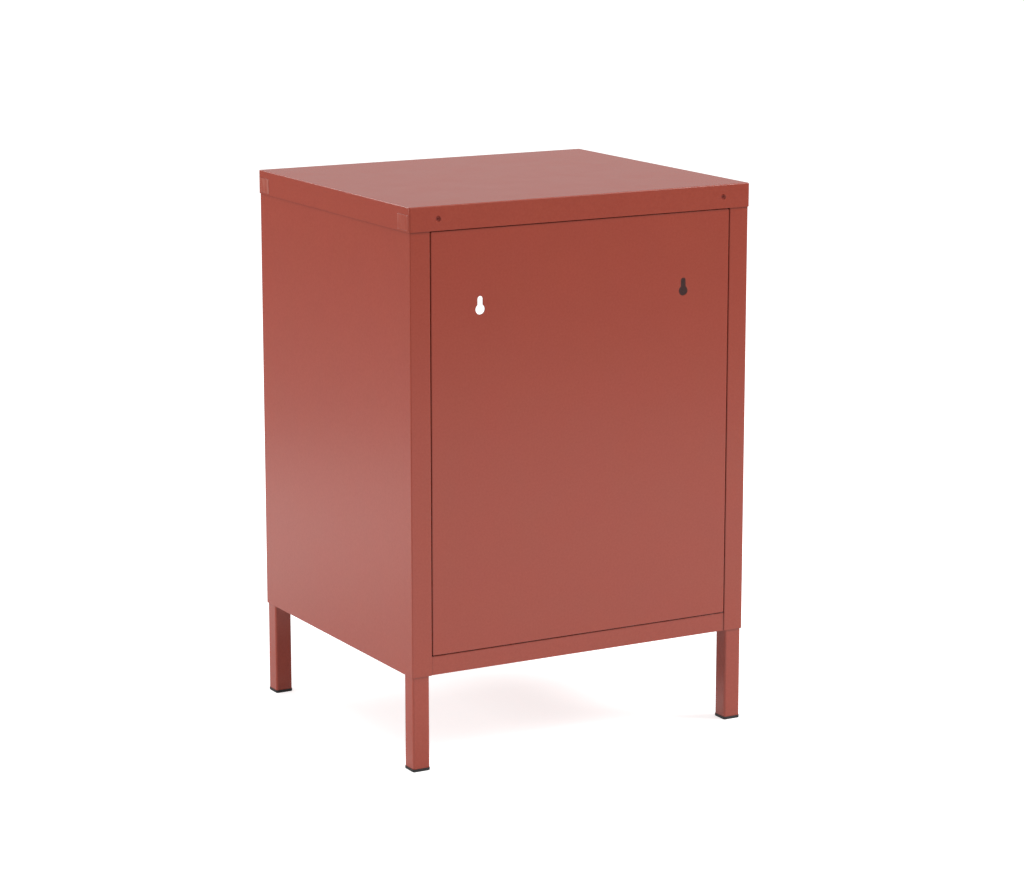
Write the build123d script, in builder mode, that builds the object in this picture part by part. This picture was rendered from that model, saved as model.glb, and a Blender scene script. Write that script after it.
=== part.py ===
from build123d import *
import os

# Small steel filing cabinet on four legs: an open niche above two drawers.
# Millimetres, +Z up, origin on the floor under the middle of the cabinet.
# The drawers open towards -Y, the plain back panel faces +Y, and left is -X.

# Overall size
cap_width = 400.0
cap_depth = 350.0
total_height = 580.0
leg_height = 100.0

# Sheet steel and its folds
sheet = 0.8
fold_inside_radius = 0.4
corner_radius = 2.0
fit_gap = 0.2

# Top cap
cap_skirt = 25.0
cap_clearance = 0.2
cap_hook_inset = 11.0
cap_hook_depth = 9.0
lap_length = 23.0
lap_drop = 8.0
lap_margin = 1.5
lap_rise = 0.3
lap_round = 0.25

# Low rail between the corner posts, which are folded from the side panels
rail_height = 20.0
rail_recess = 1.0

# Back panel with its keyholes
back_lip_depth = 12.0
back_groove = 0.4
back_gap = 0.5
keyhole_spacing = 240.0
keyhole_drop = 107.5
keyhole_entry = 10.6
keyhole_slot = 6.0
keyhole_rise = 10.5

# Stretchers under the cap
stretcher_depth = 16.0

# Legs and feet
leg_tube = 19.0
leg_wall = 1.2
leg_corner_radius = 2.0
leg_clearance = 0.2
leg_socket = 60.0
foot_overhang = 0.5
foot_height = 3.0
foot_edge = 0.6
foot_plug = 12.0
foot_plug_clearance = 0.1

# Niche and drawer fronts
niche_height = 177.0
shelf_edge = 18.0
drawer_gap = 2.2
front_depth = 15.0
front_rim = 26.0

# Drawer boxes
box_lift = 8.0
box_headroom = 12.7
box_overrun = 4.0
box_hem = 8.0
box_flange = 5.0

# Runners
runner_setback = 7.0
runner_end_room = 26.0
runner_lap = 12.0
runner_thickness = 12.7
runner_height = 35.0
runner_steel = 1.2
runner_web_gap = 2.8
cabinet_rail_reach = 9.5
middle_rail_reach = 10.5
drawer_rail_flange = 6.2
ball_diameter = 2.5
ball_clearance = 0.1
ball_pitch = 12.0
ball_count = 9
cage_thickness = 0.6
cage_width = 3.4
cage_place = 142.0
stop_length = 4.0
stop_height = 16.0
stop_clearance = 0.3

# Sunk pulls
pull_width = 110.0
pull_height = 34.0
pull_depth = 12.5
pull_wall = 1.5
pull_bezel = 4.0
pull_bezel_thickness = 0.9
pull_lip = 10.0
pull_corner_radius = 4.0
pull_clearance = 0.2
pull_drop = 10.0

# Label frames and cards
label_width = 62.0
label_height = 24.0
label_border = 4.0
label_thickness = 1.0
label_pocket_border = 2.0
label_pocket = 0.5
label_rise = 28.0
label_pin = 1.6
label_pin_length = 2.5
label_pin_clearance = 0.1
card_thickness = 0.3
card_clearance = 0.5

# Fasteners: thread, head and hole diameters
screw_thread = 4.0
screw_head = 7.5
screw_head_height = 2.0
screw_length = 6.0
short_screw_length = 3.0
screw_clearance = 0.2
runner_screw_head_height = 1.6
leg_screw_thread = 5.0
leg_screw_head = 9.5
leg_screw_head_height = 3.0
leg_screw_length = 11.0
rivet_nut_body = 7.0
rivet_nut_flange = 10.0
rivet_nut_flange_height = 2.0
rivet_nut_length = 9.0
thread_clearance = 0.05
cap_screw_inset = 32.5
cap_screw_drop = 13.0
cap_screw_thread = 3.0
cap_screw_length = 6.0
cap_screw_sink = 1.1
dimple_mouth = 6.2
dimple_hole = 3.4
press_nut = 6.5
press_nut_length = 3.0
cross_width = 0.7
cross_depth = 0.9
back_screw_margin = 35.0

# Planes and heights that follow from the sizes above
fold = fold_inside_radius + sheet
half_width = cap_width / 2 - sheet - cap_clearance
half_depth = cap_depth / 2 - sheet - cap_clearance
body_top = total_height - sheet - cap_clearance
skirt_bottom = total_height - cap_skirt
lap_height = cap_skirt - lap_drop - lap_margin
flange_width = leg_tube + leg_clearance + rivet_nut_flange_height + 2 * sheet
lip_face = half_width - flange_width
lip_depth = runner_end_room + stop_length + runner_lap
lip_edge = half_depth - lip_depth
rail_plane = half_depth - rail_recess
floor_top = leg_height + rail_height
panel_half = lip_face - fit_gap
back_half = lip_face - back_gap
cap_hook_width = 2 * (panel_half - cap_hook_inset)
wide_half = half_width - sheet - fit_gap
back_low = floor_top + back_groove
back_high = skirt_bottom - back_groove
stretcher_low = skirt_bottom + sheet + fit_gap
stretcher_high = body_top - fit_gap
shelf_top = skirt_bottom - niche_height
leg_x = half_width - sheet - leg_clearance - leg_tube / 2
leg_y = half_depth - sheet - leg_clearance - leg_tube / 2
leg_top = leg_height + leg_socket
leg_bore = leg_tube - 2 * leg_wall
foot_width = leg_tube + 2 * foot_overhang
foot_corner_radius = leg_corner_radius + foot_overhang

drawers_low = floor_top
drawers_high = shelf_top - shelf_edge
front_height = (drawers_high - drawers_low - 3 * drawer_gap) / 2
front_half = lip_face - drawer_gap
front_back = -half_depth + front_depth
runner_front = front_back + runner_setback
runner_back = half_depth - runner_end_room
runner_length = runner_back - runner_front
box_half = lip_face - runner_thickness
box_height = front_height - box_lift - box_headroom
box_depth = runner_length + box_overrun
box_back = front_back + box_depth
wall_rise = box_lift - box_flange
wall_height = box_height + box_flange
runner_rise = box_lift + (box_height - box_hem) / 2
moving_length = runner_length - stop_length - stop_clearance
ball_track = ball_diameter + 2 * ball_clearance
middle_half = runner_height / 2 - runner_steel - ball_track
drawer_rail_half = middle_half - runner_steel - ball_track
middle_back = runner_steel + runner_web_gap

SIDES = {"left": -1, "right": 1}
ENDS = {"front": -1, "back": 1}
LEVELS = {
    "lower": drawers_low + drawer_gap,
    "upper": drawers_low + 2 * drawer_gap + front_height,
}

# Screws that cross the lips of the posts, as points in Y and Z
back_screw_y = half_depth - back_lip_depth / 2
back_screw_heights = [
    leg_top + back_screw_margin,
    shelf_top + back_screw_margin,
    back_high - back_screw_margin,
]
back_screw_points = [(back_screw_y, height) for height in back_screw_heights]
shelf_screw_y = lip_edge + (lip_depth - back_lip_depth) / 2
shelf_screw_points = [(end * shelf_screw_y, shelf_top - shelf_edge / 2) for end in ENDS.values()]
stretcher_screw_y = rail_plane - stretcher_depth / 2
stretcher_screw_height = (stretcher_low + stretcher_high) / 2
stretcher_screw_points = [(end * stretcher_screw_y, stretcher_screw_height) for end in ENDS.values()]
frame_screw_points = shelf_screw_points + stretcher_screw_points
panel_screw_points = back_screw_points + frame_screw_points
runner_screw_ys = [(runner_front - lip_edge) / 2, (runner_back - stop_length + lip_edge) / 2]
runner_heights = [low + runner_rise for low in LEVELS.values()]
runner_screw_points = [(y, height) for y in runner_screw_ys for height in runner_heights]
leg_screw_points = [(end * leg_y, leg_height + rail_height / 2) for end in ENDS.values()]
screw_hole = screw_thread + 2 * screw_clearance
leg_screw_hole = leg_screw_thread + 2 * screw_clearance
cap_screw_x = cap_width / 2 - cap_screw_inset
cap_screw_xs = [-cap_screw_x, cap_screw_x]
cap_screw_height = total_height - cap_screw_drop

BASE = (Align.CENTER, Align.CENTER, Align.MIN)
HANGING = (Align.CENTER, Align.CENTER, Align.MAX)


def save(piece, name):
    piece.part.label = name
    export_step(piece.part, f"parts/{name}.step")


def facing_front(y):
    """Plane at depth y whose normal points to the front; its axes are X and Z."""
    return Plane.XZ.offset(-y)


def facing_right(x):
    """Plane at x whose normal points to the right; its axes are Y and Z."""
    return Plane.YZ.offset(x)


def side_panel(side, name):
    """Outer wall folded round both edges into a C-shaped post at the front and at the back."""
    with BuildPart() as panel:
        with BuildSketch(Plane.XY.offset(leg_height)):
            with Locations((side * (lip_face + half_width) / 2, 0)):
                RectangleRounded(flange_width, 2 * half_depth, fold)
                RectangleRounded(flange_width - 2 * sheet, 2 * (half_depth - sheet), fold_inside_radius,
                                 mode=Mode.SUBTRACT)
            with Locations((side * lip_face, 0)):
                Rectangle(4 * sheet, 2 * lip_edge, mode=Mode.SUBTRACT)
        extrude(amount=body_top - leg_height)
        with BuildSketch(facing_right(side * (lip_face - sheet))):
            with Locations(*panel_screw_points, *runner_screw_points):
                Circle(screw_hole / 2)
            with Locations(*leg_screw_points):
                Circle(leg_screw_hole / 2)
        extrude(amount=side * 3 * sheet, mode=Mode.SUBTRACT)
    save(panel, name)


def top_cap():
    """Tray with a folded skirt, raised lap patches at its corners and dimples for two screws."""
    dimple_depth = cap_depth / 2 - rail_plane
    with BuildPart() as cap:
        with BuildSketch(Plane.XY.offset(skirt_bottom)):
            RectangleRounded(cap_width, cap_depth, corner_radius)
        extrude(amount=cap_skirt)
        fillet(cap.edges().group_by(Axis.Z)[-1], fold)
        with BuildSketch(Plane.XY.offset(skirt_bottom)):
            RectangleRounded(cap_width - 2 * sheet, cap_depth - 2 * sheet, corner_radius - sheet)
        extrude(amount=cap_skirt - sheet, mode=Mode.SUBTRACT)
        # Hook of the front skirt, which grips under the front stretcher
        with BuildSketch(Plane.XY.offset(skirt_bottom)):
            with Locations((0, -cap_depth / 2 + cap_hook_depth / 2 + sheet / 2)):
                Rectangle(cap_hook_width, cap_hook_depth - sheet)
        extrude(amount=sheet)
        # Lap patches, where the end tabs of the front and back skirts are pressed over the side skirts
        lap_centre = total_height - lap_drop - lap_height / 2
        lap_y = cap_depth / 2 - corner_radius - lap_length / 2
        with BuildSketch(facing_right(cap_width / 2)):
            with Locations((lap_y, lap_centre), (-lap_y, lap_centre)):
                Rectangle(lap_length, lap_height)
        extrude(amount=lap_rise)
        with BuildSketch(facing_right(-cap_width / 2)):
            with Locations((lap_y, lap_centre), (-lap_y, lap_centre)):
                Rectangle(lap_length, lap_height)
        extrude(amount=-lap_rise)
        lap_faces = cap.faces().filter_by(Axis.X).group_by(Axis.X)
        fillet(lap_faces[0].edges() + lap_faces[-1].edges(), lap_round)
        # Dimples: cones pressed into the back skirt, so that the screw heads lie below its face
        mouths = [Plane((x, cap_depth / 2, cap_screw_height), z_dir=(0, 1, 0)) for x in cap_screw_xs]
        with Locations(*mouths):
            Cone(dimple_hole / 2 + sheet, dimple_mouth / 2 + sheet, dimple_depth, align=HANGING)
            Cone(dimple_hole / 2, dimple_mouth / 2, dimple_depth, align=HANGING, mode=Mode.SUBTRACT)
    save(cap, "top_cap")


def back_panel():
    """Flush pan between the back flanges, hung on two keyholes."""
    height = back_high - back_low
    centre = (back_high + back_low) / 2
    entry_height = total_height - keyhole_drop
    with BuildPart() as panel:
        with BuildSketch(facing_front(half_depth)):
            with Locations((0, centre)):
                RectangleRounded(2 * back_half, height, corner_radius)
        extrude(amount=back_lip_depth)
        fillet(panel.faces().sort_by(Axis.Y)[-1].edges(), fold)
        with BuildSketch(facing_front(half_depth - sheet)):
            with Locations((0, centre)):
                RectangleRounded(2 * (back_half - sheet), height - 2 * sheet, corner_radius - sheet)
        extrude(amount=back_lip_depth, mode=Mode.SUBTRACT)
        with BuildSketch(facing_front(half_depth)):
            with Locations((-keyhole_spacing / 2, entry_height), (keyhole_spacing / 2, entry_height)):
                Circle(keyhole_entry / 2)
                Rectangle(keyhole_slot, keyhole_rise, align=(Align.CENTER, Align.MIN))
            with Locations(
                (-keyhole_spacing / 2, entry_height + keyhole_rise),
                (keyhole_spacing / 2, entry_height + keyhole_rise),
            ):
                Circle(keyhole_slot / 2)
        extrude(amount=2 * sheet, mode=Mode.SUBTRACT)
        with BuildSketch(Plane.YZ):
            with Locations(*back_screw_points):
                Circle(screw_hole / 2)
        extrude(amount=2 * back_half, both=True, mode=Mode.SUBTRACT)
    save(panel, "back_panel")


def bottom_panel():
    """Floor folded down all round; its front and back folds are the low rails between the posts."""
    with BuildPart() as floor:
        with BuildSketch(Plane.XY.offset(leg_height)) as outline:
            Rectangle(2 * wide_half, 2 * (lip_edge - fit_gap))
            Rectangle(2 * panel_half, 2 * rail_plane)
        extrude(amount=rail_height)
        ends = floor.edges().group_by(Axis.Z)[-1].filter_by(Axis.X).sort_by(Axis.Y)
        fillet([ends[0], ends[-1]], fold)
        with BuildSketch(Plane.XY.offset(leg_height)):
            add(outline.sketch)
            offset(amount=-sheet, kind=Kind.INTERSECTION)
        extrude(amount=rail_height - sheet, mode=Mode.SUBTRACT)
        with BuildSketch(Plane.YZ):
            with Locations(*leg_screw_points):
                Circle(leg_screw_hole / 2)
        extrude(amount=2 * panel_half, both=True, mode=Mode.SUBTRACT)
    save(floor, "bottom_panel")


def niche_shelf():
    """Fixed shelf folded down all round, notched at the back round the lips of the back panel."""
    low = shelf_top - shelf_edge
    rear_narrow = half_depth - back_lip_depth - fit_gap
    rear = half_depth - sheet - fit_gap
    rear_half = back_half - sheet - fit_gap
    with BuildPart() as shelf:
        with BuildSketch(Plane.XY.offset(low)) as outline:
            Rectangle(2 * wide_half, 2 * (lip_edge - fit_gap))
            with Locations((0, (rear_narrow - rail_plane) / 2)):
                Rectangle(2 * panel_half, rear_narrow + rail_plane)
            with Locations((0, rear / 2)):
                Rectangle(2 * rear_half, rear)
        extrude(amount=shelf_edge)
        ends = shelf.edges().group_by(Axis.Z)[-1].filter_by(Axis.X).sort_by(Axis.Y)
        fillet(ends[0], fold)
        with BuildSketch(Plane.XY.offset(low)):
            add(outline.sketch)
            offset(amount=-sheet, kind=Kind.INTERSECTION)
        extrude(amount=shelf_edge - sheet, mode=Mode.SUBTRACT)
        with BuildSketch(Plane.YZ):
            with Locations(*shelf_screw_points):
                Circle(screw_hole / 2)
        extrude(amount=2 * panel_half, both=True, mode=Mode.SUBTRACT)
    save(shelf, "niche_shelf")


def stretcher(end, name):
    """Channel across the top between two posts, hidden behind the cap's skirt."""
    height = stretcher_high - stretcher_low
    centre = (stretcher_high + stretcher_low) / 2
    with BuildPart() as bar:
        with BuildSketch(facing_front(end * rail_plane)):
            with Locations((0, centre)):
                Rectangle(2 * panel_half, height)
        extrude(amount=end * stretcher_depth)
        with BuildSketch(facing_front(end * (rail_plane - sheet))):
            with Locations((0, centre)):
                Rectangle(2 * (panel_half - sheet), height - 2 * sheet)
        extrude(amount=end * stretcher_depth, mode=Mode.SUBTRACT)
        with BuildSketch(Plane.YZ):
            with Locations(*stretcher_screw_points):
                Circle(screw_hole / 2)
        extrude(amount=2 * panel_half, both=True, mode=Mode.SUBTRACT)
        if end > 0:
            with BuildSketch(facing_front(rail_plane)):
                with Locations(*[(x, cap_screw_height) for x in cap_screw_xs]):
                    Circle(cap_screw_thread / 2 + screw_clearance)
            extrude(amount=2 * sheet, mode=Mode.SUBTRACT)
    save(bar, name)


def leg(side, end, name):
    """Square tube that stands in the post's C and is screwed to its lip."""
    with BuildPart() as tube:
        with BuildSketch(Plane.XY.offset(foot_height)):
            with Locations((side * leg_x, end * leg_y)):
                RectangleRounded(leg_tube, leg_tube, leg_corner_radius)
                RectangleRounded(leg_bore, leg_bore, leg_corner_radius - leg_wall / 2, mode=Mode.SUBTRACT)
        extrude(amount=leg_top - foot_height)
        with BuildSketch(facing_right(side * leg_x)):
            with Locations((end * leg_y, leg_height + rail_height / 2)):
                Circle(rivet_nut_body / 2 + thread_clearance)
        extrude(amount=-side * leg_tube, mode=Mode.SUBTRACT)
    save(tube, name)


def foot(side, end, name):
    """Plastic plug pressed into the leg, with a flange that stands on the floor."""
    plug = leg_bore - 2 * foot_plug_clearance
    with BuildPart() as cap:
        with BuildSketch():
            with Locations((side * leg_x, end * leg_y)):
                RectangleRounded(foot_width, foot_width, foot_corner_radius)
        extrude(amount=foot_height)
        chamfer(cap.edges().group_by(Axis.Z)[0], foot_edge)
        with BuildSketch(Plane.XY.offset(foot_height)):
            with Locations((side * leg_x, end * leg_y)):
                RectangleRounded(plug, plug, leg_corner_radius - leg_wall / 2)
        extrude(amount=foot_plug)
    save(cap, name)


def pan_screws(name, seats, thread, length, head, head_height):
    """Group of cross-recessed screws; each seat is a plane under the head, facing the driver."""
    with BuildPart() as group:
        with Locations(*seats):
            Cylinder(thread / 2, length, align=HANGING)
            Cylinder(head / 2, head_height / 2, align=BASE)
        with Locations(*[seat.offset(head_height / 2) for seat in seats]):
            Cone(head / 2, head / 3, head_height / 2, align=BASE)
        with Locations(*[seat.offset(head_height) for seat in seats]):
            Box(head / 2, cross_width, cross_depth, align=HANGING, mode=Mode.SUBTRACT)
            Box(cross_width, head / 2, cross_depth, align=HANGING, mode=Mode.SUBTRACT)
    save(group, name)


def lip_seats(points, inset, facing=-1):
    """Screw seats on both sides, inset from the lips; they face the middle, or the walls if facing is 1."""
    seats = []
    for side in SIDES.values():
        for y, z in points:
            seats.append(Plane((side * (lip_face - inset), y, z), z_dir=(facing * side, 0, 0)))
    return seats


def leg_rivet_nuts():
    """Threaded inserts in the legs; their flanges fill the space between leg and lip."""
    with BuildPart() as nuts:
        for side in SIDES.values():
            x = side * (lip_face + sheet)
            with Locations(*[Plane((x, y, z), z_dir=(side, 0, 0)) for y, z in leg_screw_points]):
                Cylinder(rivet_nut_flange / 2, rivet_nut_flange_height, align=BASE)
                Cylinder(rivet_nut_body / 2, rivet_nut_flange_height + rivet_nut_length, align=BASE)
                Cylinder(leg_screw_thread / 2 + thread_clearance, rivet_nut_flange_height + rivet_nut_length,
                         align=BASE, mode=Mode.SUBTRACT)
    save(nuts, "leg_rivet_nuts")


def cap_screws():
    """Countersunk screws whose heads sit deep in the cap's dimples."""
    dimple_depth = cap_depth / 2 - rail_plane
    slope = (dimple_mouth - dimple_hole) / 2 / dimple_depth
    head_radius = dimple_mouth / 2 - slope * cap_screw_sink - thread_clearance
    cone_height = (head_radius - cap_screw_thread / 2) / slope
    top_y = cap_depth / 2 - cap_screw_sink
    with BuildPart() as group:
        with Locations(*[Plane((x, top_y, cap_screw_height), z_dir=(0, 1, 0)) for x in cap_screw_xs]):
            Cone(cap_screw_thread / 2, head_radius, cone_height, align=HANGING)
            Cylinder(cap_screw_thread / 2, cone_height + cap_screw_length, align=HANGING)
            Box(cap_screw_thread, cross_width, cross_depth, align=HANGING, mode=Mode.SUBTRACT)
            Box(cross_width, cap_screw_thread, cross_depth, align=HANGING, mode=Mode.SUBTRACT)
    save(group, "cap_screws")


def cap_press_nuts():
    """Round nuts pressed on the inside of the back stretcher for the cap's screws."""
    face_y = rail_plane - sheet
    bore = cap_screw_thread / 2 + thread_clearance
    with BuildPart() as nuts:
        with Locations(*[Plane((x, face_y, cap_screw_height), z_dir=(0, -1, 0)) for x in cap_screw_xs]):
            Cylinder(press_nut / 2, press_nut_length, align=BASE)
            Cylinder(bore, press_nut_length, align=BASE, mode=Mode.SUBTRACT)
    save(nuts, "cap_press_nuts")


def runner_rail(side, web, tip, half_height, height, length, hole_ys, name):
    """C-section rail; web and tip are the distances of its web and flange ends from the post's lip."""
    inward = 1 if tip > web else -1
    middle = side * (lip_face - (web + tip) / 2)
    hollow = side * (lip_face - (web + inward * runner_steel + tip) / 2)
    with BuildPart() as rail:
        with BuildSketch(facing_front(runner_front)):
            with Locations((middle, height)):
                Rectangle(abs(tip - web), 2 * half_height)
            with Locations((hollow, height)):
                Rectangle(abs(tip - web) - runner_steel, 2 * (half_height - runner_steel),
                          mode=Mode.SUBTRACT)
        extrude(amount=-length)
        if hole_ys:
            with BuildSketch(facing_right(side * (lip_face - web))):
                with Locations(*[(y, height) for y in hole_ys]):
                    Circle(screw_hole / 2)
            extrude(amount=-side * inward * runner_steel, mode=Mode.SUBTRACT)
    save(rail, name)


def ball_cages(height, track_half, centre, name):
    """Strips with a row of balls each, above and below the rail, in both runners of one drawer."""
    cage_length = (ball_count + 1) * ball_pitch
    cage_y = runner_front + cage_place
    with BuildPart() as cages:
        for side in SIDES.values():
            x = side * (lip_face - centre)
            strips = [(x, cage_y, height - track_half), (x, cage_y, height + track_half)]
            with Locations(*strips):
                Box(cage_width, cage_length, cage_thickness)
                with GridLocations(ball_pitch, ball_pitch, 1, ball_count):
                    Sphere(ball_diameter / 2)
    save(cages, name)


def runner_stops():
    """Rubber blocks on the webs of the cabinet rails that the closing rails come up to."""
    stop_depth = runner_thickness - 2 * runner_steel - runner_web_gap / 2
    with BuildPart() as stops:
        for side in SIDES.values():
            x = side * (lip_face - runner_steel - stop_depth / 2)
            for height in runner_heights:
                with Locations((x, runner_back - stop_length / 2, height)):
                    Box(stop_depth, stop_length, stop_height)
    save(stops, "runner_stops")


def drawer_front(low, name):
    """Folded front with a rim at its back, a window for the pull and pin holes for the label frame."""
    centre = low + front_height / 2
    with BuildPart() as front:
        with BuildSketch(facing_front(-half_depth)):
            with Locations((0, centre)):
                RectangleRounded(2 * front_half, front_height, corner_radius)
        extrude(amount=-front_depth)
        fillet(front.faces().sort_by(Axis.Y)[0].edges(), fold)
        with BuildSketch(facing_front(-half_depth + sheet)):
            with Locations((0, centre)):
                RectangleRounded(2 * (front_half - sheet), front_height - 2 * sheet, corner_radius - sheet)
        extrude(amount=-(front_depth - 2 * sheet), mode=Mode.SUBTRACT)
        with BuildSketch(facing_front(front_back)):
            with Locations((0, centre)):
                Rectangle(2 * (front_half - front_rim), front_height - 2 * front_rim)
            with Locations(*front_screw_points(low)):
                Circle(screw_hole / 2)
        extrude(amount=2 * sheet, mode=Mode.SUBTRACT)
        with BuildSketch(facing_front(-half_depth)):
            with Locations((0, centre - pull_drop)):
                RectangleRounded(pull_width, pull_height, pull_corner_radius)
            with Locations(*label_pin_points(low)):
                Circle(label_pin / 2 + label_pin_clearance)
        extrude(amount=-2 * sheet, mode=Mode.SUBTRACT)
    save(front, name)


def front_screw_points(low):
    """Points in X and Z where the box is screwed to the rim of the drawer front."""
    low_row = low + (box_lift + front_rim) / 2
    high_row = low + (front_height - front_rim + box_lift + box_height) / 2
    x = box_half - front_rim
    return [(-x, low_row), (x, low_row), (-x, high_row), (x, high_row)]


def label_pin_points(low):
    """Points in X and Z of the two pins of the label frame."""
    x = label_width / 2 - label_pocket_border / 2
    height = low + front_height / 2 + label_rise
    return [(-x, height), (x, height)]


def box_floor(low, name):
    """Floor of a drawer box, folded down all round so that the walls can be welded to its flanges."""
    centre_y = (front_back + box_back) / 2
    with BuildPart() as floor:
        with BuildSketch(Plane.XY.offset(low + wall_rise)):
            with Locations((0, centre_y)):
                Rectangle(2 * (box_half - sheet), box_depth - 2 * sheet)
        extrude(amount=box_flange + sheet)
        with BuildSketch(Plane.XY.offset(low + wall_rise)):
            with Locations((0, centre_y)):
                Rectangle(2 * (box_half - 2 * sheet), box_depth - 4 * sheet)
        extrude(amount=box_flange, mode=Mode.SUBTRACT)
    save(floor, name)


def box_side(side, low, name):
    """Side wall of a drawer box, hemmed outwards along its top and screwed to the drawer rail."""
    top = low + box_lift + box_height
    with BuildPart() as wall:
        with BuildSketch(facing_front(front_back)):
            with Locations((side * (box_half - sheet / 2), top - wall_height / 2)):
                Rectangle(sheet, wall_height)
            with Locations((side * (box_half + sheet / 2), top - box_hem / 2)):
                Rectangle(sheet, box_hem)
        extrude(amount=-box_depth)
        with BuildSketch(facing_right(side * box_half)):
            with Locations(*[(y, low + runner_rise) for y in runner_screw_ys]):
                Circle(screw_hole / 2)
        extrude(amount=-side * 2 * sheet, mode=Mode.SUBTRACT)
    save(wall, name)


def box_end(end, low, name):
    """End wall between the sides; the back one is hemmed, the front one is screwed to the drawer front."""
    top = low + box_lift + box_height
    centre_y = box_back - sheet / 2 if end > 0 else front_back + sheet / 2
    with BuildPart() as wall:
        with BuildSketch(Plane.YZ):
            with Locations((centre_y, top - wall_height / 2)):
                Rectangle(sheet, wall_height)
            if end > 0:
                with Locations((box_back + sheet / 2, top - box_hem / 2)):
                    Rectangle(sheet, box_hem)
        extrude(amount=box_half - sheet, both=True)
        if end < 0:
            with BuildSketch(facing_front(front_back)):
                with Locations(*front_screw_points(low)):
                    Circle(screw_hole / 2)
            extrude(amount=-2 * sheet, mode=Mode.SUBTRACT)
    save(wall, name)


def drawer_pull(low, name):
    """Moulded cup in the front's window; its upper lip hangs over the recess for the fingers."""
    centre = low + front_height / 2 - pull_drop
    cup_width = pull_width - 2 * pull_clearance
    cup_height = pull_height - 2 * pull_clearance
    mouth_width = cup_width - 2 * pull_wall
    mouth_height = cup_height - 2 * pull_wall - pull_lip
    inner_radius = pull_corner_radius - pull_wall
    with BuildPart() as cup:
        with BuildSketch(facing_front(-half_depth)):
            with Locations((0, centre)):
                RectangleRounded(cup_width, cup_height, pull_corner_radius)
        extrude(amount=-pull_depth)
        with BuildSketch(facing_front(-half_depth)):
            with Locations((0, centre)):
                RectangleRounded(pull_width + 2 * pull_bezel, pull_height + 2 * pull_bezel,
                                 pull_corner_radius + pull_bezel)
        extrude(amount=pull_bezel_thickness)
        fillet(cup.faces().sort_by(Axis.Y)[0].edges(), pull_bezel_thickness / 2)
        with BuildSketch(facing_front(-half_depth + pull_wall)):
            with Locations((0, centre)):
                RectangleRounded(mouth_width, cup_height - 2 * pull_wall, inner_radius)
        extrude(amount=-(pull_depth - 2 * pull_wall), mode=Mode.SUBTRACT)
        with BuildSketch(facing_front(-half_depth - pull_bezel_thickness)):
            with Locations((0, centre - pull_lip / 2)):
                RectangleRounded(mouth_width, mouth_height, inner_radius)
        extrude(amount=-(pull_bezel_thickness + 2 * pull_wall), mode=Mode.SUBTRACT)
    save(cup, name)


def label_frame(low, name):
    """Pressed frame on two pins, with a pocket behind its border for a paper card."""
    centre = low + front_height / 2 + label_rise
    with BuildPart() as frame:
        with BuildSketch(facing_front(-half_depth)):
            with Locations((0, centre)):
                RectangleRounded(label_width, label_height, label_border / 2)
        extrude(amount=label_thickness)
        fillet(frame.faces().sort_by(Axis.Y)[0].edges(), label_pocket / 2)
        with BuildSketch(facing_front(-half_depth)):
            with Locations((0, centre)):
                Rectangle(label_width - 2 * label_pocket_border, label_height - 2 * label_pocket_border)
        extrude(amount=label_pocket, mode=Mode.SUBTRACT)
        with BuildSketch(facing_front(-half_depth)):
            with Locations((0, centre)):
                Rectangle(label_width - 2 * label_border, label_height - 2 * label_border)
        extrude(amount=2 * label_thickness, mode=Mode.SUBTRACT)
        with BuildSketch(facing_front(-half_depth)):
            with Locations(*label_pin_points(low)):
                Circle(label_pin / 2)
        extrude(amount=-label_pin_length)
    save(frame, name)


def label_card(low, name):
    """Blank paper card in the label frame."""
    room = (label_pocket - card_thickness) / 2
    with BuildPart() as card:
        with BuildSketch(facing_front(-half_depth - room)):
            with Locations((0, low + front_height / 2 + label_rise)):
                Rectangle(label_width - 2 * label_pocket_border - card_clearance,
                          label_height - 2 * label_pocket_border - card_clearance)
        extrude(amount=card_thickness)
    save(card, name)


os.makedirs("parts", exist_ok=True)

top_cap()
cap_screws()
cap_press_nuts()
back_panel()
bottom_panel()
niche_shelf()
leg_rivet_nuts()
runner_stops()
for side_name, side in SIDES.items():
    side_panel(side, f"side_panel_{side_name}")
for end_name, end in ENDS.items():
    stretcher(end, f"{end_name}_stretcher")
    for side_name, side in SIDES.items():
        leg(side, end, f"leg_{end_name}_{side_name}")
        foot(side, end, f"foot_{end_name}_{side_name}")

panel_seats = lip_seats(back_screw_points, back_gap + sheet) + lip_seats(frame_screw_points, fit_gap + sheet)
pan_screws("panel_screws", panel_seats, screw_thread, screw_length, screw_head, screw_head_height)
pan_screws("runner_screws", lip_seats(runner_screw_points, runner_steel),
           screw_thread, screw_length, screw_head, runner_screw_head_height)
pan_screws("leg_screws", lip_seats(leg_screw_points, fit_gap + sheet),
           leg_screw_thread, leg_screw_length, leg_screw_head, leg_screw_head_height)

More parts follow.
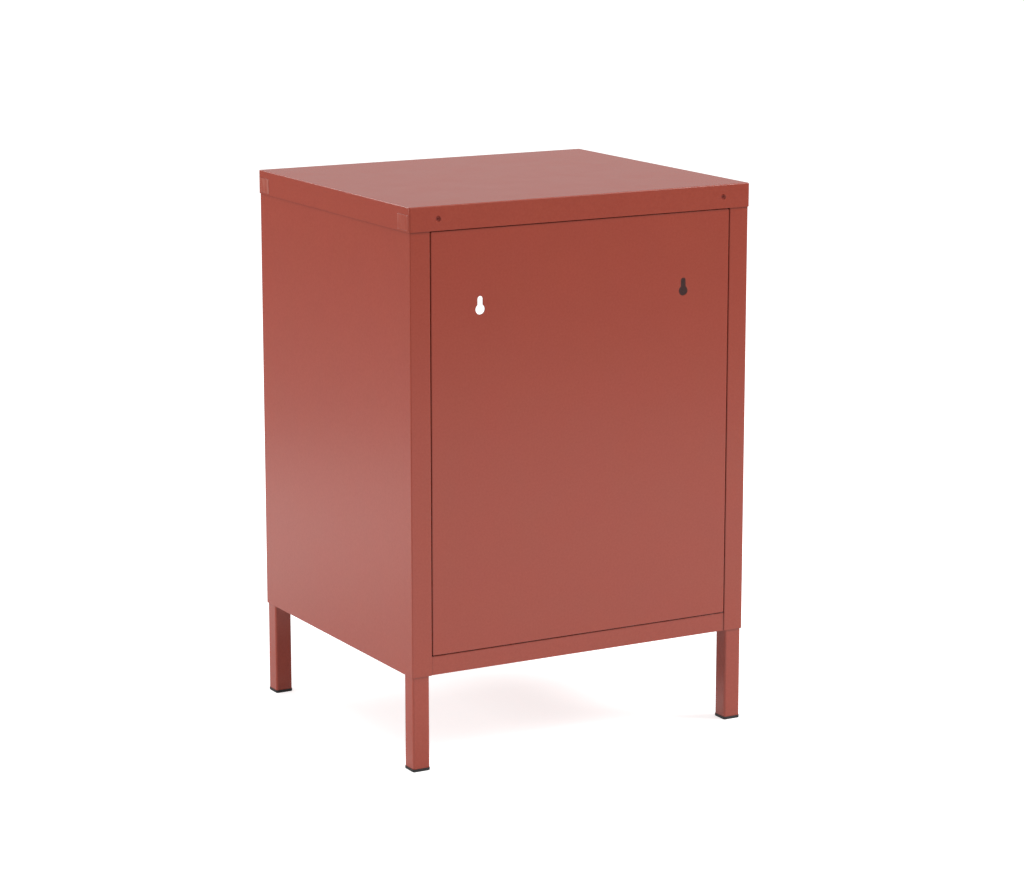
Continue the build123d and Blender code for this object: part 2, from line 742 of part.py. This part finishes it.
outer_balls = (middle_back + cabinet_rail_reach) / 2
inner_balls = (runner_thickness - drawer_rail_flange + middle_rail_reach) / 2
for level, low in LEVELS.items():
    height = low + runner_rise
    drawer_front(low, f"{level}_drawer_front")
    box_floor(low, f"{level}_box_floor")
    for side_name, side in SIDES.items():
        box_side(side, low, f"{level}_box_{side_name}")
    for end_name, end in ENDS.items():
        box_end(end, low, f"{level}_box_{end_name}")
    drawer_pull(low, f"{level}_drawer_pull")
    label_frame(low, f"{level}_label_frame")
    label_card(low, f"{level}_label_card")
    front_seats = [Plane((x, front_back + sheet, z), z_dir=(0, 1, 0)) for x, z in front_screw_points(low)]
    rail_points = [(y, height) for y in runner_screw_ys]
    rail_seats = lip_seats(rail_points, runner_thickness - runner_steel, facing=1)
    pan_screws(f"{level}_drawer_screws", front_seats + rail_seats, screw_thread, short_screw_length,
               screw_head, runner_screw_head_height)
    ball_cages(height, middle_half + ball_track / 2, outer_balls, f"{level}_outer_ball_cages")
    ball_cages(height, drawer_rail_half + ball_track / 2, inner_balls, f"{level}_inner_ball_cages")
    for side_name, side in SIDES.items():
        runner_rail(side, 0, cabinet_rail_reach, runner_height / 2, height, runner_length,
                    runner_screw_ys, f"{level}_{side_name}_cabinet_rail")
        runner_rail(side, middle_back, middle_rail_reach, middle_half, height, moving_length,
                    [], f"{level}_{side_name}_middle_rail")
        runner_rail(side, runner_thickness, runner_thickness - drawer_rail_flange, drawer_rail_half, height,
                    moving_length, runner_screw_ys, f"{level}_{side_name}_drawer_rail")
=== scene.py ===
import math
import bpy
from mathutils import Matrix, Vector

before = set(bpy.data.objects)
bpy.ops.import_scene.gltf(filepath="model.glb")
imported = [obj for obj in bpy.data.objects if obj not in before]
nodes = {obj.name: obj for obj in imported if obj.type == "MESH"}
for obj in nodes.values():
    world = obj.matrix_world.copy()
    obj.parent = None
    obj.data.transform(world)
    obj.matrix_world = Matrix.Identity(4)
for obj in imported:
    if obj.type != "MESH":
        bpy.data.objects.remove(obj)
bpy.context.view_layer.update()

# Carcass: side walls folded into corner posts, floor, niche shelf, stretchers, back panel and cap.
# All are 0.8 mm cold-rolled steel sheet, cut and folded, then screwed together and powder-coated.
# The four square tube legs stand in the posts and wear the same coat.


def linear_colour(hex_code):
    """sRGB hex colour as the linear RGBA that a shader socket takes."""
    channels = [int(hex_code[i:i + 2], 16) / 255 for i in (1, 3, 5)]
    return [c / 12.92 if c <= 0.04045 else ((c + 0.055) / 1.055) ** 2.4 for c in channels] + [1.0]


def add_node(tree, kind, settings=None, inputs=None):
    """One shader node with its settings; an input is a value, or an output socket that is linked to it."""
    node = tree.nodes.new(kind)
    for name, value in (settings or {}).items():
        setattr(node, name, value)
    for name, value in (inputs or {}).items():
        if isinstance(value, bpy.types.NodeSocket):
            tree.links.new(value, node.inputs[name])
        else:
            node.inputs[name].default_value = value
    return node


def new_surface(name):
    """Empty material with its node tree and the piece's own coordinates, which are metres."""
    material = bpy.data.materials.new(name)
    material.use_nodes = True
    material.node_tree.nodes.clear()
    place = add_node(material.node_tree, "ShaderNodeTexCoord").outputs["Object"]
    return material, material.node_tree, place


def close_surface(tree, shader):
    """Links the finished shader to the material's output."""
    add_node(tree, "ShaderNodeOutputMaterial", inputs={"Surface": shader.outputs[0]})


def dress(names, material):
    """Gives the named CAD pieces one finish."""
    for name in names:
        mesh = nodes[name].data
        mesh.materials.clear()
        mesh.materials.append(material)


# Polyester powder coat, sprayed dry and baked: a satin terracotta skin with fine orange peel.
# The real ripple is about 0.8 mm wide; it is drawn 2.2 mm wide so that a render can show it.
# Within 3 mm of seams, gaps and steps the coat is darkened to a deep brown by ambient occlusion: painted
# shade, such as the shadow line under the cap's skirts.
# The laps at the ends of the cap's side skirts stand proud and carry a painted highlight in pale upright
# streaks, strongest along their inner ends and at the front.
COAT_RIPPLE = 0.0022
COAT_RIPPLE_DEPTH = 0.00008
COAT_MOTTLE = 0.045
SEAM_SHADE_REACH = 0.003
LAP_FACE = 0.20015
LAP_END = 0.1505
LAP_EDGE = 0.004
LAP_EDGE_HIGHLIGHT = 0.32
LAP_FACE_HIGHLIGHT = 0.15
LAP_BACK_SHARE = 0.35
LAP_SHARE_FADE = 0.1
LAP_STREAK = 0.003
UPRIGHT_STRETCH = (1.0, 1.0, 0.2)
powder_coat, tree, place = new_surface("terracotta_powder_coat")
mottle = add_node(tree, "ShaderNodeTexNoise", inputs={
    "Vector": place, "Scale": 1 / COAT_MOTTLE, "Detail": 3.0, "Roughness": 0.55})
ripple = add_node(tree, "ShaderNodeTexNoise", inputs={
    "Vector": place, "Scale": 1 / COAT_RIPPLE, "Detail": 2.0, "Roughness": 0.6})
coat_shade = add_node(tree, "ShaderNodeMix", {"data_type": "RGBA"}, {
    "Factor": ripple.outputs["Fac"], "A": linear_colour("#963826"), "B": linear_colour("#A64430")})
coat_tone = add_node(tree, "ShaderNodeMix", {"data_type": "RGBA", "blend_type": "SOFT_LIGHT"}, {
    "Factor": 0.05, "A": coat_shade.outputs["Result"], "B": mottle.outputs["Color"]})
spot = add_node(tree, "ShaderNodeSeparateXYZ", inputs={"Vector": place})
from_middle = add_node(tree, "ShaderNodeMath", {"operation": "ABSOLUTE"}, {0: spot.outputs["X"]})
proud = add_node(tree, "ShaderNodeMath", {"operation": "GREATER_THAN"}, {
    0: from_middle.outputs[0], 1: LAP_FACE})
from_centre = add_node(tree, "ShaderNodeMath", {"operation": "ABSOLUTE"}, {0: spot.outputs["Y"]})
lap_highlight_fade = add_node(tree, "ShaderNodeMapRange", inputs={
    "Value": from_centre.outputs[0], "From Min": LAP_END, "From Max": LAP_END + LAP_EDGE,
    "To Min": LAP_EDGE_HIGHLIGHT, "To Max": LAP_FACE_HIGHLIGHT})
front_share = add_node(tree, "ShaderNodeMapRange", inputs={
    "Value": spot.outputs["Y"], "From Min": -LAP_SHARE_FADE, "From Max": LAP_SHARE_FADE,
    "To Min": 1.0, "To Max": LAP_BACK_SHARE})
upright = add_node(tree, "ShaderNodeMapping", inputs={"Vector": place, "Scale": UPRIGHT_STRETCH})
highlight_streaks = add_node(tree, "ShaderNodeTexNoise", inputs={
    "Vector": upright.outputs["Vector"], "Scale": 1 / LAP_STREAK, "Detail": 2.0})
highlight_streak = add_node(tree, "ShaderNodeMapRange", inputs={
    "Value": highlight_streaks.outputs["Fac"], "From Min": 0.35, "From Max": 0.65, "To Min": 0.3, "To Max": 1.3})
painted_lap_highlight = proud
for share in (lap_highlight_fade, front_share, highlight_streak):
    painted_lap_highlight = add_node(tree, "ShaderNodeMath", {"operation": "MULTIPLY"}, {
        0: painted_lap_highlight.outputs[0], 1: share.outputs["Result"]})
# Painted highlight: a pale tone mixed in over the proud laps.
tone_with_painted_highlight = add_node(tree, "ShaderNodeMix", {"data_type": "RGBA"}, {
    "Factor": painted_lap_highlight.outputs[0], "A": coat_tone.outputs["Result"], "B": linear_colour("#D8A090")})
# Painted shade: ambient occlusion darkens the coat towards #3A1510 in seams, gaps and under steps.
openness = add_node(tree, "ShaderNodeAmbientOcclusion", {"samples": 8}, {"Distance": SEAM_SHADE_REACH})
painted_seam_shade = add_node(tree, "ShaderNodeMath", {"operation": "SUBTRACT"}, {
    0: 1.0, 1: openness.outputs["AO"]})
coat_colour = add_node(tree, "ShaderNodeMix", {"data_type": "RGBA"}, {
    "Factor": painted_seam_shade.outputs[0], "A": tone_with_painted_highlight.outputs["Result"], "B": linear_colour("#3A1510")})
coat_gloss = add_node(tree, "ShaderNodeMapRange", inputs={
    "Value": mottle.outputs["Fac"], "From Min": 0.3, "From Max": 0.7, "To Min": 0.24, "To Max": 0.26})
coat_bump = add_node(tree, "ShaderNodeBump", inputs={
    "Height": ripple.outputs["Fac"], "Strength": 0.25, "Distance": COAT_RIPPLE_DEPTH})
close_surface(tree, add_node(tree, "ShaderNodeBsdfPrincipled", inputs={
    "Base Color": coat_colour.outputs["Result"], "Roughness": coat_gloss.outputs["Result"],
    "Normal": coat_bump.outputs["Normal"], "IOR": 1.5}))

ENDS = ("front", "back")
SIDES = ("left", "right")
LEGS = [f"leg_{end}_{side}" for end in ENDS for side in SIDES]
dress(["side_panel_left", "side_panel_right", "bottom_panel", "niche_shelf", "front_stretcher",
       "back_stretcher", "back_panel", "top_cap", *LEGS], powder_coat)

# Feet: polypropylene plugs pressed into the leg tubes, with a thin flange that stands on the floor.
# Injection-moulded in a spark-eroded tool, so the black is dull and very finely pitted.
# The real pits are about 0.1 mm; they are drawn 0.6 mm wide so that a close view shows them.
PITS = 0.0006
PIT_DEPTH = 0.00005
moulded_black, tree, place = new_surface("black_moulded_polypropylene")
pits = add_node(tree, "ShaderNodeTexNoise", inputs={"Vector": place, "Scale": 1 / PITS, "Detail": 2.0})
pit_shade = add_node(tree, "ShaderNodeMix", {"data_type": "RGBA"}, {
    "Factor": pits.outputs["Fac"], "A": linear_colour("#111112"), "B": linear_colour("#1D1D1F")})
pit_gloss = add_node(tree, "ShaderNodeMapRange", inputs={
    "Value": pits.outputs["Fac"], "To Min": 0.48, "To Max": 0.62})
pit_bump = add_node(tree, "ShaderNodeBump", inputs={
    "Height": pits.outputs["Fac"], "Strength": 0.4, "Distance": PIT_DEPTH})
close_surface(tree, add_node(tree, "ShaderNodeBsdfPrincipled", inputs={
    "Base Color": pit_shade.outputs["Result"], "Roughness": pit_gloss.outputs["Result"],
    "Normal": pit_bump.outputs["Normal"], "IOR": 1.49}))
dress([f"foot_{end}_{side}" for end in ENDS for side in SIDES], moulded_black)

# Screws and nuts inside: thread-forming pan heads, rivet nuts in the legs and press nuts in the stretcher.
# Cold-headed steel, barrel-plated with zinc and passivated: a cool grey with faint straw and blue clouds.
CLOUDS = 0.004
zinc_plate, tree, place = new_surface("passivated_zinc_plate")
clouds = add_node(tree, "ShaderNodeTexNoise", inputs={
    "Vector": place, "Scale": 1 / CLOUDS, "Detail": 4.0, "Roughness": 0.6})
cloud_shade = add_node(tree, "ShaderNodeMix", {"data_type": "RGBA"}, {
    "Factor": clouds.outputs["Fac"], "A": linear_colour("#B4B9BF"), "B": linear_colour("#CFCDC4")})
cloud_gloss = add_node(tree, "ShaderNodeMapRange", inputs={
    "Value": clouds.outputs["Fac"], "From Min": 0.3, "From Max": 0.7, "To Min": 0.26, "To Max": 0.4})
close_surface(tree, add_node(tree, "ShaderNodeBsdfPrincipled", inputs={
    "Base Color": cloud_shade.outputs["Result"], "Metallic": 1.0,
    "Roughness": cloud_gloss.outputs["Result"]}))
LEVELS = ("upper", "lower")
dress(["panel_screws", "runner_screws", "leg_screws", "leg_rivet_nuts", "cap_press_nuts",
       *[f"{level}_drawer_screws" for level in LEVELS]], zinc_plate)

# Cap screws: two small countersunk screws, sunk in dimples of the cap's back skirt.
# Steel with a baked stoving enamel in the cabinet's colour, thick, runny and duller than the powder coat.
ENAMEL_RUNS = 0.0012
ENAMEL_RUN_DEPTH = 0.00005
screw_enamel, tree, place = new_surface("terracotta_stoving_enamel")
runs = add_node(tree, "ShaderNodeTexNoise", inputs={"Vector": place, "Scale": 1 / ENAMEL_RUNS, "Detail": 2.0})
run_shade = add_node(tree, "ShaderNodeMix", {"data_type": "RGBA"}, {
    "Factor": runs.outputs["Fac"], "A": linear_colour("#84281A"), "B": linear_colour("#963220")})
run_bump = add_node(tree, "ShaderNodeBump", inputs={
    "Height": runs.outputs["Fac"], "Strength": 0.3, "Distance": ENAMEL_RUN_DEPTH})
close_surface(tree, add_node(tree, "ShaderNodeBsdfPrincipled", inputs={
    "Base Color": run_shade.outputs["Result"], "Roughness": 0.55, "Normal": run_bump.outputs["Normal"],
    "IOR": 1.5}))
dress(["cap_screws"], screw_enamel)

# Runners: three nested rails on each side of a drawer, screwed to the posts and to the drawer box.
# Rolled from strip steel and zinc-plated, so the shine is drawn out along the rail in fine rolling lines.
# The real lines are about 0.2 mm wide; they are drawn 0.7 mm wide so that they show.
ROLLING_LINE = 0.0007
ROLLING_LINE_DEPTH = 0.00003
ROLLING_STRETCH = (1.0, 0.02, 1.0)
runner_zinc, tree, place = new_surface("rolled_zinc_plated_strip")
along = add_node(tree, "ShaderNodeMapping", inputs={"Vector": place, "Scale": ROLLING_STRETCH})
lines = add_node(tree, "ShaderNodeTexNoise", inputs={
    "Vector": along.outputs["Vector"], "Scale": 1 / ROLLING_LINE, "Detail": 3.0})
line_shade = add_node(tree, "ShaderNodeMix", {"data_type": "RGBA"}, {
    "Factor": lines.outputs["Fac"], "A": linear_colour("#A9AEB3"), "B": linear_colour("#C6C9CB")})
line_gloss = add_node(tree, "ShaderNodeMapRange", inputs={
    "Value": lines.outputs["Fac"], "From Min": 0.3, "From Max": 0.7, "To Min": 0.26, "To Max": 0.42})
line_bump = add_node(tree, "ShaderNodeBump", inputs={
    "Height": lines.outputs["Fac"], "Strength": 0.2, "Distance": ROLLING_LINE_DEPTH})
close_surface(tree, add_node(tree, "ShaderNodeBsdfPrincipled", inputs={
    "Base Color": line_shade.outputs["Result"], "Metallic": 1.0, "Roughness": line_gloss.outputs["Result"],
    "Normal": line_bump.outputs["Normal"]}))
dress([f"{level}_{side}_{rail}_rail" for level in LEVELS for side in SIDES
       for rail in ("cabinet", "middle", "drawer")], runner_zinc)

# Ball cages: rows of hardened steel balls in pressed strips, which run between the rails.
# Ground and polished, with a thin film of grease that dulls the shine in patches.
GREASE = 0.003
greased_steel, tree, place = new_surface("greased_polished_steel")
grease = add_node(tree, "ShaderNodeTexNoise", inputs={"Vector": place, "Scale": 1 / GREASE, "Detail": 2.0})
grease_shade = add_node(tree, "ShaderNodeMix", {"data_type": "RGBA"}, {
    "Factor": grease.outputs["Fac"], "A": linear_colour("#B9B6AC"), "B": linear_colour("#D6D7D8")})
grease_gloss = add_node(tree, "ShaderNodeMapRange", inputs={
    "Value": grease.outputs["Fac"], "From Min": 0.35, "From Max": 0.65, "To Min": 0.14, "To Max": 0.34})
close_surface(tree, add_node(tree, "ShaderNodeBsdfPrincipled", inputs={
    "Base Color": grease_shade.outputs["Result"], "Metallic": 1.0,
    "Roughness": grease_gloss.outputs["Result"]}))
dress([f"{level}_{row}_ball_cages" for level in LEVELS for row in ("outer", "inner")], greased_steel)

# Runner stops: small blocks glued to the cabinet rails, which the drawers come up to.
# Moulded nitrile rubber, dull black with a faint grey bloom.
BLOOM = 0.005
stop_rubber, tree, place = new_surface("black_nitrile_rubber")
bloom = add_node(tree, "ShaderNodeTexNoise", inputs={"Vector": place, "Scale": 1 / BLOOM, "Detail": 4.0})
bloom_shade = add_node(tree, "ShaderNodeMix", {"data_type": "RGBA"}, {
    "Factor": bloom.outputs["Fac"], "A": linear_colour("#161616"), "B": linear_colour("#2A2A2B")})
bloom_gloss = add_node(tree, "ShaderNodeMapRange", inputs={
    "Value": bloom.outputs["Fac"], "To Min": 0.7, "To Max": 0.9})
close_surface(tree, add_node(tree, "ShaderNodeBsdfPrincipled", inputs={
    "Base Color": bloom_shade.outputs["Result"], "Roughness": bloom_gloss.outputs["Result"], "IOR": 1.52}))
dress(["runner_stops"], stop_rubber)

# Drawers: an open box welded from a floor and four walls, and a hollow front with a pressed label frame.
# All are folded from the same sheet and coated like the carcass; the front is screwed to the box from inside.
DRAWER_SHEETS = ("drawer_front", "label_frame", "box_floor", "box_left", "box_right", "box_front", "box_back")
dress([f"{level}_{sheet}" for level in LEVELS for sheet in DRAWER_SHEETS], powder_coat)

# Pulls: cups snapped into the windows of the drawer fronts, with a lip for the fingers.
# Injection-moulded ABS, coloured through to match the coat, with a fine spark-eroded texture.
# The real texture is about 0.15 mm; it is drawn 0.8 mm wide so that it shows.
SPARK = 0.0008
SPARK_DEPTH = 0.00004
pull_abs, tree, place = new_surface("terracotta_moulded_abs")
spark = add_node(tree, "ShaderNodeTexNoise", inputs={"Vector": place, "Scale": 1 / SPARK, "Detail": 2.0})
spark_shade = add_node(tree, "ShaderNodeMix", {"data_type": "RGBA"}, {
    "Factor": spark.outputs["Fac"], "A": linear_colour("#8C3B2C"), "B": linear_colour("#974233")})
spark_gloss = add_node(tree, "ShaderNodeMapRange", inputs={
    "Value": spark.outputs["Fac"], "To Min": 0.42, "To Max": 0.54})
spark_bump = add_node(tree, "ShaderNodeBump", inputs={
    "Height": spark.outputs["Fac"], "Strength": 0.3, "Distance": SPARK_DEPTH})
close_surface(tree, add_node(tree, "ShaderNodeBsdfPrincipled", inputs={
    "Base Color": spark_shade.outputs["Result"], "Roughness": spark_gloss.outputs["Result"],
    "Normal": spark_bump.outputs["Normal"], "IOR": 1.53}))
dress([f"{level}_drawer_pull" for level in LEVELS], pull_abs)

# Label cards: blank cards slipped into the pressed frames on the drawer fronts.
# Uncoated off-white board, with short cloudy fibres in it.
# The real fibres are about 0.05 mm thick; their clouds are drawn 0.9 mm wide so that they show.
FIBRE = 0.0009
FIBRE_DEPTH = 0.00003
label_board, tree, place = new_surface("uncoated_card")
fibre = add_node(tree, "ShaderNodeTexNoise", inputs={
    "Vector": place, "Scale": 1 / FIBRE, "Detail": 5.0, "Distortion": 1.5})
fibre_shade = add_node(tree, "ShaderNodeMix", {"data_type": "RGBA"}, {
    "Factor": fibre.outputs["Fac"], "A": linear_colour("#DAD4C6"), "B": linear_colour("#EEEAE0")})
fibre_bump = add_node(tree, "ShaderNodeBump", inputs={
    "Height": fibre.outputs["Fac"], "Strength": 0.3, "Distance": FIBRE_DEPTH})
close_surface(tree, add_node(tree, "ShaderNodeBsdfPrincipled", inputs={
    "Base Color": fibre_shade.outputs["Result"], "Roughness": 0.85, "Normal": fibre_bump.outputs["Normal"],
    "IOR": 1.5}))
dress([f"{level}_label_card" for level in LEVELS], label_board)

# Studio: a white room with a broad floor and soft boxes. The floor's colour is paler round the cabinet and
# greyer further out: a painted pool of light.
# The floor looks plain white and keeps a faint shadow. Mirrored in the coat it shows a painted reflection:
# an emission that only glossy rays see, which fades further out and is a painted glow behind the cabinet.
FLOOR_SIZE = 120.0
PALE_CENTRE = (-0.12, 0.2, 0.0)
PALE_INNER = 1.35
PALE_OUTER = 2.1
PALE_SEEN = 0.71
FAR_SEEN = 0.88
PALE_MIRRORED = 0.28
GLOW_CENTRE = (-0.5, 1.05, 0.0)
GLOW_INNER = 0.85
GLOW_OUTER = 1.2
GLOW_MIRRORED = 0.5
floor_mesh = bpy.data.meshes.new("studio_floor")
edge = FLOOR_SIZE / 2
corners = [(-edge, -edge, 0), (edge, -edge, 0), (edge, edge, 0), (-edge, edge, 0)]
floor_mesh.from_pydata(corners, [], [(0, 1, 2, 3)])
floor = bpy.data.objects.new("studio_floor", floor_mesh)
bpy.context.scene.collection.objects.link(floor)
pale_floor, tree, place = new_surface("pale_studio_floor")
distance = add_node(tree, "ShaderNodeVectorMath", {"operation": "DISTANCE"}, {0: place, 1: PALE_CENTRE})
near = add_node(tree, "ShaderNodeMapRange", {"interpolation_type": "SMOOTHSTEP"}, {
    "Value": distance.outputs["Value"], "From Min": PALE_INNER, "From Max": PALE_OUTER,
    "To Min": 1.0, "To Max": 0.0})
# Painted pool of light: the floor's colour is paler near the cabinet and greyer further out.
painted_pool_floor_tone = add_node(tree, "ShaderNodeMix", {"data_type": "RGBA"}, {
    "Factor": near.outputs["Result"], "A": linear_colour("#B4B4B4"), "B": linear_colour("#DCDCDC")})
lit = add_node(tree, "ShaderNodeBsdfDiffuse", inputs={"Color": painted_pool_floor_tone.outputs["Result"]})
ray = add_node(tree, "ShaderNodeLightPath")
seen = add_node(tree, "ShaderNodeMath", {"operation": "MAXIMUM"}, {
    0: ray.outputs["Is Camera Ray"], 1: ray.outputs["Is Transmission Ray"]})
seen_white = add_node(tree, "ShaderNodeMapRange", inputs={
    "Value": near.outputs["Result"], "To Min": FAR_SEEN, "To Max": PALE_SEEN})
# Painted reflection: white glow that only glossy rays see, near the cabinet and more behind it.
glow_distance = add_node(tree, "ShaderNodeVectorMath", {"operation": "DISTANCE"}, {
    0: place, 1: GLOW_CENTRE})
painted_glow = add_node(tree, "ShaderNodeMapRange", {"interpolation_type": "SMOOTHSTEP"}, {
    "Value": glow_distance.outputs["Value"], "From Min": GLOW_INNER, "From Max": GLOW_OUTER,
    "To Min": GLOW_MIRRORED, "To Max": 0.0})
painted_reflection_white = add_node(tree, "ShaderNodeMath", {"operation": "MULTIPLY_ADD"}, {
    0: near.outputs["Result"], 1: PALE_MIRRORED, 2: painted_glow.outputs["Result"]})
painted_reflection_share = add_node(tree, "ShaderNodeMath", {"operation": "MULTIPLY"}, {
    0: ray.outputs["Is Glossy Ray"], 1: painted_reflection_white.outputs[0]})
white_part = add_node(tree, "ShaderNodeMath", {"operation": "MULTIPLY_ADD"}, {
    0: seen.outputs[0], 1: seen_white.outputs["Result"], 2: painted_reflection_share.outputs[0]})
white = add_node(tree, "ShaderNodeEmission", inputs={
    "Color": linear_colour("#FFFFFF"), "Strength": white_part.outputs[0]})
close_surface(tree, add_node(tree, "ShaderNodeAddShader", inputs={0: lit.outputs[0], 1: white.outputs[0]}))
floor_mesh.materials.append(pale_floor)


def soft_box(name, place, aim, size, power):
    """Square soft box at place that faces aim; the camera doesn't see it."""
    lamp = bpy.data.lights.new(name, "AREA")
    lamp.shape = "SQUARE"
    lamp.size = size
    lamp.energy = power
    box = bpy.data.objects.new(name, lamp)
    box.location = place
    box.rotation_mode = "QUATERNION"
    box.rotation_quaternion = (Vector(aim) - Vector(place)).to_track_quat("-Z", "Y")
    box.visible_camera = False
    bpy.context.scene.collection.objects.link(box)


MIDDLE = (0.0, 0.0, 0.3)
soft_box("soft_box_right", place=(2.68, -0.47, 0.98), aim=MIDDLE, size=1.2, power=32.0)
soft_box("soft_box_left", place=(-3.82, 2.21, 3.75), aim=MIDDLE, size=2.4, power=262.0)
soft_box("soft_box_front", place=(0.71, -1.96, 2.17), aim=MIDDLE, size=1.2, power=25.0)

ROOM_LIGHT = 0.5
ROOM_SEEN = 1.0
ROOM_MIRRORED = 0.02
room = bpy.data.worlds.new("white_room")
room.use_nodes = True
room.node_tree.nodes.clear()
tree = room.node_tree
ray = add_node(tree, "ShaderNodeLightPath")
seen = add_node(tree, "ShaderNodeMath", {"operation": "MAXIMUM"}, {
    0: ray.outputs["Is Camera Ray"], 1: ray.outputs["Is Transmission Ray"]})
mirrored = add_node(tree, "ShaderNodeMath", {"operation": "MULTIPLY"}, {
    0: ray.outputs["Is Glossy Ray"], 1: ROOM_MIRRORED})
white_share = add_node(tree, "ShaderNodeMath", {"operation": "MAXIMUM"}, {
    0: seen.outputs[0], 1: mirrored.outputs[0]})
room_light = add_node(tree, "ShaderNodeMapRange", inputs={
    "Value": white_share.outputs[0], "To Min": ROOM_LIGHT, "To Max": ROOM_SEEN})
room_glow = add_node(tree, "ShaderNodeBackground", inputs={
    "Color": linear_colour("#FFFFFF"), "Strength": room_light.outputs["Result"]})
add_node(tree, "ShaderNodeOutputWorld", inputs={"Surface": room_glow.outputs[0]})
bpy.context.scene.world = room
bpy.context.scene.view_settings.view_transform = "Standard"

# Camera: a long lens at waist height, which looks down a little on the cabinet's back and right-hand side.
# It is aimed by its tilt and its turn from the back panel's normal, and its frame is not shifted.
CAMERA_PLACE = (1.6246, 2.9186, 0.9989)
CAMERA_AZIMUTH = math.radians(29.314)
CAMERA_TILT = math.radians(11.854)
SENSOR_WIDTH = 36.0
FOCAL_LENGTH = 111.445
view = bpy.data.cameras.new("camera")
view.sensor_width = SENSOR_WIDTH
view.lens = FOCAL_LENGTH
camera = bpy.data.objects.new("camera", view)
camera.location = CAMERA_PLACE
sight = Vector((-math.sin(CAMERA_AZIMUTH) * math.cos(CAMERA_TILT),
                -math.cos(CAMERA_AZIMUTH) * math.cos(CAMERA_TILT), -math.sin(CAMERA_TILT)))
camera.rotation_mode = "QUATERNION"
camera.rotation_quaternion = sight.to_track_quat("-Z", "Y")
bpy.context.scene.collection.objects.link(camera)
bpy.context.scene.camera = camera
